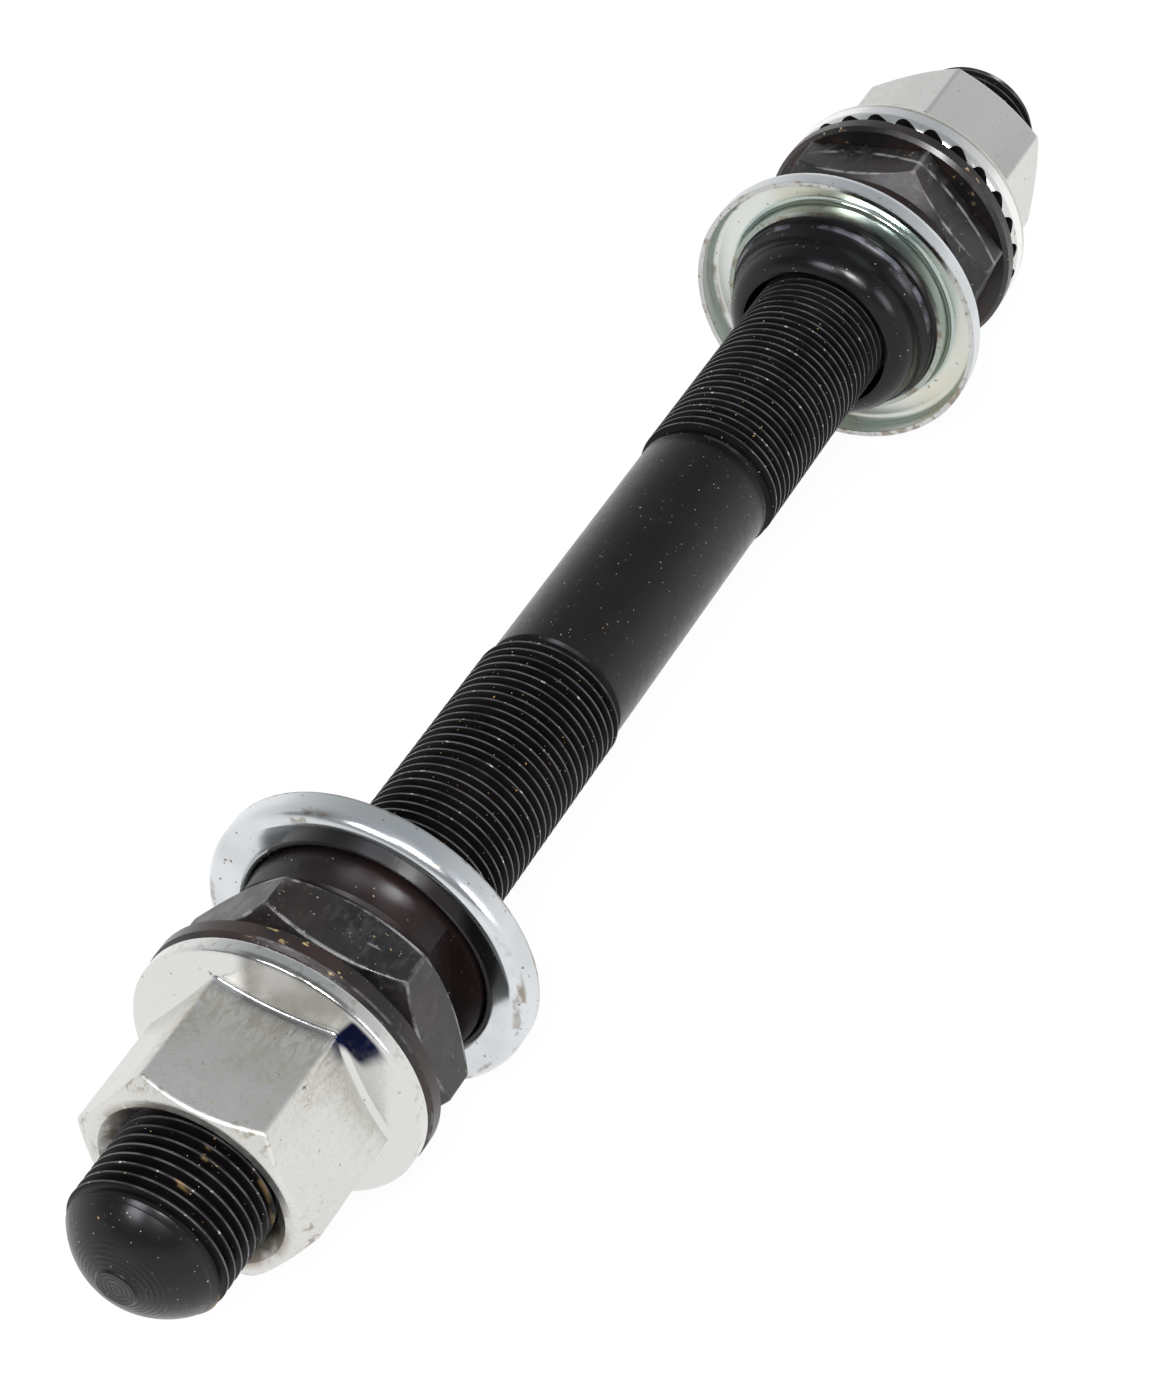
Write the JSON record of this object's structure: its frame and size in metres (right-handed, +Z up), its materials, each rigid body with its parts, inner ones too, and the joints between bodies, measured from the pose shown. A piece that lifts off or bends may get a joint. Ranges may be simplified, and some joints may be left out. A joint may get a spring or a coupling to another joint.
{
  "type": "bicycle hub axle",
  "caption": "Threaded solid axle with a bearing cone, dust cap, locknut, washer and flange nut at each end, for a bicycle hub.",
  "frame": {"origin": "on the axle's centre line, at the middle of its length", "axes": "+X along the axle towards the right end, where the plain middle shank ends further out; +Z up; +Y horizontal"},
  "size_m": [0.176, 0.03, 0.03],
  "materials": {
    "black_oxide": "satin black oxide, lightly oiled",
    "cone_steel": "polished black on the race, brownish black outside",
    "cap_zinc": "bright zinc plate with brown stains at the bead",
    "locknut_steel": "satin black oxide with worn edges",
    "washer_steel": "satin black oxide, slightly brown",
    "nut_zinc": "bright zinc plate, mottled grey on the flats, brown stains at the edges"
  },
  "bodies": {
    "axle": {"axle": "black_oxide"},
    "locknut_left": {"locknut_left": "locknut_steel"},
    "cone_left": {"cone_left": "cone_steel", "dust_cap_left": "cap_zinc"},
    "locknut_right": {"locknut_right": "locknut_steel"},
    "cone_right": {"cone_right": "cone_steel", "dust_cap_right": "cap_zinc"},
    "washer_left": {"washer_left": "washer_steel"},
    "nut_left": {"flange_nut_left": "nut_zinc"},
    "washer_right": {"washer_right": "washer_steel"},
    "nut_right": {"flange_nut_right": "nut_zinc"}
  },
  "joints": [
    {"name": "locknut_left_slide", "type": "slide", "parent": "axle", "child": "locknut_left", "axis": [1, 0, 0], "range_m": [0, 0.024]},
    {"name": "cone_left_spin", "type": "hinge", "parent": "locknut_left", "child": "cone_left", "pos_m": [-0.05, 0, 0], "axis": [1, 0, 0], "range_deg": [0, 8640]},
    {"name": "locknut_right_slide", "type": "slide", "parent": "axle", "child": "locknut_right", "axis": [-1, 0, 0], "range_m": [0, 0.024]},
    {"name": "cone_right_spin", "type": "hinge", "parent": "locknut_right", "child": "cone_right", "pos_m": [0.05, 0, 0], "axis": [-1, 0, 0], "range_deg": [0, 8640]},
    {"name": "washer_left_slide", "type": "slide", "parent": "axle", "child": "washer_left", "axis": [-1, 0, 0], "range_m": [0, 0.02]},
    {"name": "nut_left_spin", "type": "hinge", "parent": "washer_left", "child": "nut_left", "pos_m": [-0.07, 0, 0], "axis": [-1, 0, 0], "range_deg": [0, 7200]},
    {"name": "washer_right_slide", "type": "slide", "parent": "axle", "child": "washer_right", "axis": [1, 0, 0], "range_m": [0, 0.02]},
    {"name": "nut_right_spin", "type": "hinge", "parent": "washer_right", "child": "nut_right", "pos_m": [0.07, 0, 0], "axis": [1, 0, 0], "range_deg": [0, 7200]}
  ],
  "couplings": [
    {"joint": "cone_left_spin", "follows": "locknut_left_slide", "rad_per_m": 6283.2},
    {"joint": "cone_right_spin", "follows": "locknut_right_slide", "rad_per_m": 6283.2},
    {"joint": "nut_left_spin", "follows": "washer_left_slide", "rad_per_m": 6283.2},
    {"joint": "nut_right_spin", "follows": "washer_right_slide", "rad_per_m": 6283.2}
  ]
}
